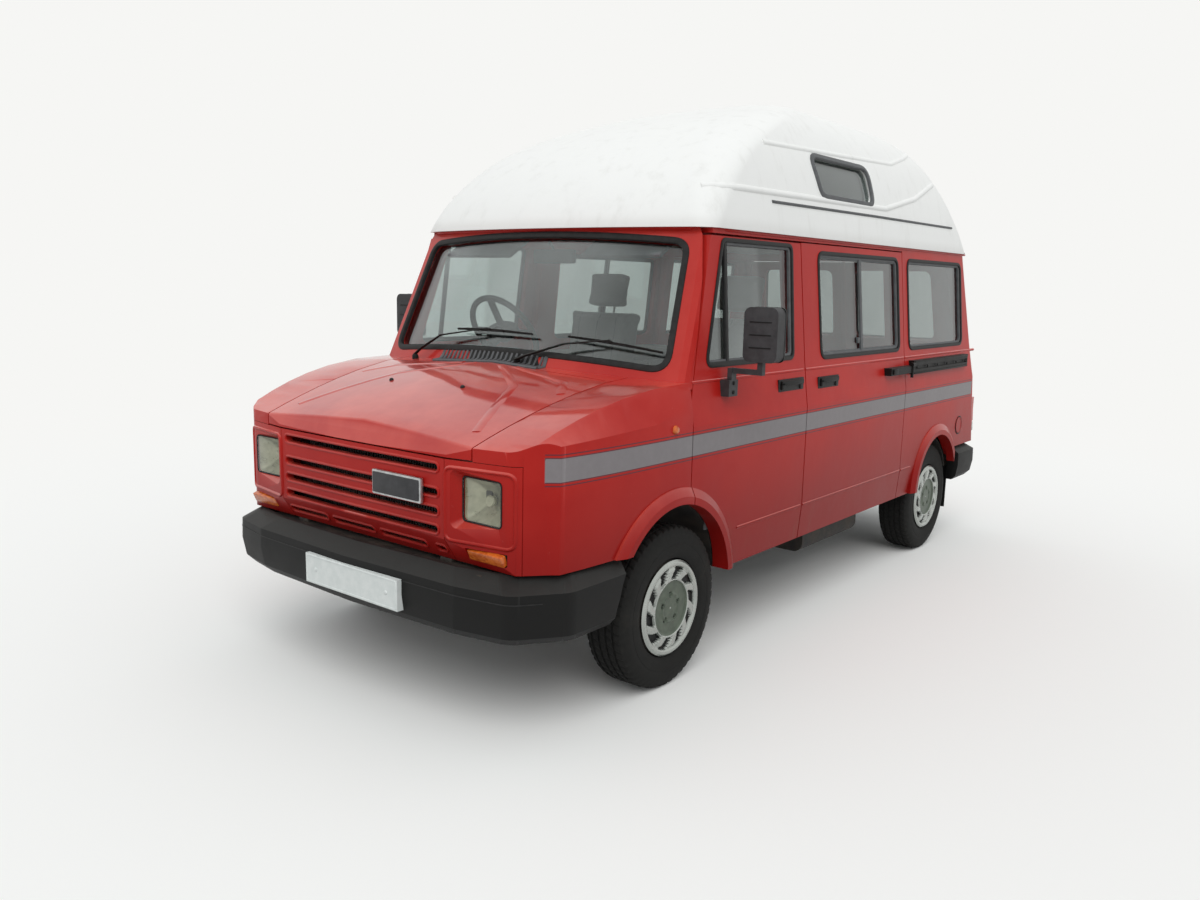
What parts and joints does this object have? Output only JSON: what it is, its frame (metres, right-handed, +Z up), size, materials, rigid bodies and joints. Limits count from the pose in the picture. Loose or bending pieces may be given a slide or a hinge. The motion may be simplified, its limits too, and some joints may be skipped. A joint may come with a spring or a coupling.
{
  "type": "high-top camper van",
  "caption": "Bonneted panel van with side windows, a sliding side door, twin rear doors and a raised moulded roof, converted as a camper.",
  "frame": {"origin": "centre of the bounding box on the ground plane under the tyres", "axes": "+Y runs from the front to the rear along the length, +X to the vehicle's left, +Z up"},
  "size_m": [2.152, 4.352, 2.438],
  "materials": {
    "red_paint": "satin",
    "white_roof": "satin",
    "black_trim": "matte",
    "grey_trim": "matte",
    "chassis": "matte",
    "engine_block": "matte",
    "bare_steel": "satin",
    "window_glass": "gloss",
    "lamp_glass": "gloss",
    "amber_lens": "gloss",
    "red_lens": "gloss",
    "plate_white": "satin",
    "seat_fabric": "matte",
    "tyre_rubber": "matte",
    "silver_trim": "satin"
  },
  "bodies": {
    "body": {"bumpers": "black_trim", "dashboard": "grey_trim", "engine": "engine_block", "exhaust": "bare_steel", "fixed_glass": "window_glass", "floor_pan": "chassis", "front_axle": "chassis", "front_lamps": "lamp_glass", "front_panels": "red_paint", "front_wings": "red_paint", "fuel_tank": "chassis", "high_roof": "white_roof", "number_plates": "plate_white", "rear_axle": "chassis", "rear_frame": "red_paint", "screen_frame": "red_paint", "seats": "seat_fabric", "side_panel_left": "red_paint", "side_panel_right": "red_paint", "slide_rail": "black_trim", "sliding_door": "red_paint", "tail_lamps": "red_lens"},
    "steering_wheel": {"steering_wheel": "black_trim"},
    "bonnet": {"bonnet": "red_paint"},
    "tie_rod": {"tie_rod": "bare_steel"},
    "front_door_left": {"front_door_left": "red_paint", "front_door_glass_left": "window_glass", "mirror_left": "black_trim"},
    "rear_door_left": {"rear_door_left": "red_paint", "rear_door_glass_left": "window_glass"},
    "knuckle_left": {"knuckle_left": "chassis"},
    "front_wheel_left": {"front_wheel_left": "silver_trim", "front_tyre_left": "tyre_rubber"},
    "rear_wheel_left": {"rear_wheel_left": "silver_trim", "rear_tyre_left": "tyre_rubber"},
    "front_door_right": {"front_door_right": "red_paint", "front_door_glass_right": "window_glass", "mirror_right": "black_trim"},
    "rear_door_right": {"rear_door_right": "red_paint", "rear_door_glass_right": "window_glass"},
    "knuckle_right": {"knuckle_right": "chassis"},
    "front_wheel_right": {"front_wheel_right": "silver_trim", "front_tyre_right": "tyre_rubber"},
    "rear_wheel_right": {"rear_wheel_right": "silver_trim", "rear_tyre_right": "tyre_rubber"}
  },
  "joints": [
    {"name": "front_door_left_hinge", "type": "hinge", "parent": "body", "child": "front_door_left", "pos_m": [0.885, -1.224, 0.9], "axis": [0, 0, -1], "range_deg": [0, 70]},
    {"name": "front_door_right_hinge", "type": "hinge", "parent": "body", "child": "front_door_right", "pos_m": [-0.885, -1.224, 0.9], "axis": [0, 0, 1], "range_deg": [0, 70]},
    {"name": "rear_door_left_hinge", "type": "hinge", "parent": "body", "child": "rear_door_left", "pos_m": [0.752, 2.00551, 1.1], "axis": [0, 0.1867, -0.9824], "range_deg": [0, 100]},
    {"name": "rear_door_right_hinge", "type": "hinge", "parent": "body", "child": "rear_door_right", "pos_m": [-0.752, 2.00551, 1.1], "axis": [0, -0.1867, 0.9824], "range_deg": [0, 100]},
    {"name": "bonnet_hinge", "type": "hinge", "parent": "body", "child": "bonnet", "pos_m": [0, -1.414, 1.222], "axis": [-1, 0, 0], "range_deg": [0, 60]},
    {"name": "steer_left", "type": "hinge", "parent": "body", "child": "knuckle_left", "pos_m": [0.69, -1.302, 0.314], "axis": [0, 0, 1], "range_deg": [-33, 33]},
    {"name": "steer_right", "type": "hinge", "parent": "body", "child": "knuckle_right", "pos_m": [-0.69, -1.302, 0.314], "axis": [0, 0, 1], "range_deg": [-33, 33]},
    {"name": "steering_wheel_turn", "type": "hinge", "parent": "body", "child": "steering_wheel", "pos_m": [-0.41, -0.922, 1.285], "axis": [0, 0.848, 0.5299], "range_deg": [-500, 500]},
    {"name": "tie_rod_pin", "type": "hinge", "parent": "knuckle_left", "child": "tie_rod", "pos_m": [0.69, -1.186, 0.246], "axis": [0, 0, 1], "range_deg": [-33, 33]},
    {"name": "front_wheel_left_spin", "type": "hinge", "parent": "knuckle_left", "child": "front_wheel_left", "pos_m": [0.756, -1.302, 0.314], "axis": [1, 0, 0], "continuous": true},
    {"name": "front_wheel_right_spin", "type": "hinge", "parent": "knuckle_right", "child": "front_wheel_right", "pos_m": [-0.756, -1.302, 0.314], "axis": [1, 0, 0], "continuous": true},
    {"name": "rear_wheel_left_spin", "type": "hinge", "parent": "body", "child": "rear_wheel_left", "pos_m": [0.738, 1.398, 0.314], "axis": [1, 0, 0], "continuous": true},
    {"name": "rear_wheel_right_spin", "type": "hinge", "parent": "body", "child": "rear_wheel_right", "pos_m": [-0.738, 1.398, 0.314], "axis": [1, 0, 0], "continuous": true}
  ],
  "couplings": [
    {"joint": "steer_right", "follows": "steer_left", "ratio": 1},
    {"joint": "tie_rod_pin", "follows": "steer_left", "ratio": -1},
    {"joint": "steering_wheel_turn", "follows": "steer_left", "ratio": 15}
  ]
}
